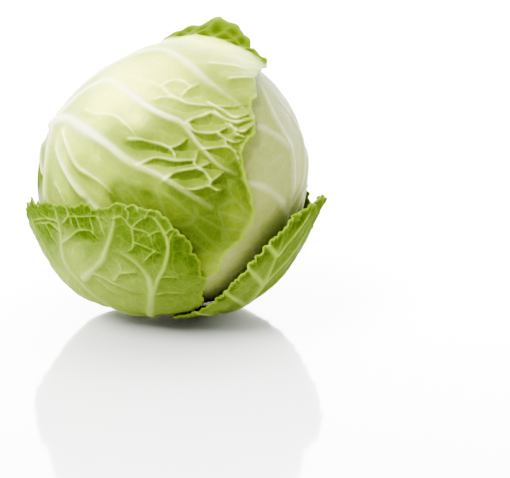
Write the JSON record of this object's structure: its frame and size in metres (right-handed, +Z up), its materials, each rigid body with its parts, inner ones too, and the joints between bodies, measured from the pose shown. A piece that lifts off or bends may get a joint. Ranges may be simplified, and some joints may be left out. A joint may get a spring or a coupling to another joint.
{
  "type": "cabbage head",
  "caption": "Round white cabbage head: a dense heart under tight veined wrapper leaves, cupped by loose green outer leaves, standing on its cut stem.",
  "frame": {"origin": "middle of the stem's flat cut face, on which the head stands", "axes": "+Z up, out of the cut face and through the head; -Y is the head's front as pictured, +X its right"},
  "size_m": [0.1881, 0.1881, 0.18],
  "materials": {
    "heart": "satin",
    "stem": "matte",
    "wrapper": "satin, waxy",
    "pale_wrapper": "satin, waxy",
    "outer": "satin, waxy"
  },
  "bodies": {
    "root": {"heart": "heart", "stem": "stem", "wrapper_leaf_left": "wrapper", "wrapper_leaf_right": "pale_wrapper", "wrapper_leaf_back": "pale_wrapper", "outer_leaf_front": "outer", "outer_leaf_left": "outer", "outer_leaf_back": "outer", "outer_leaf_right": "outer"}
  },
  "joints": []
}
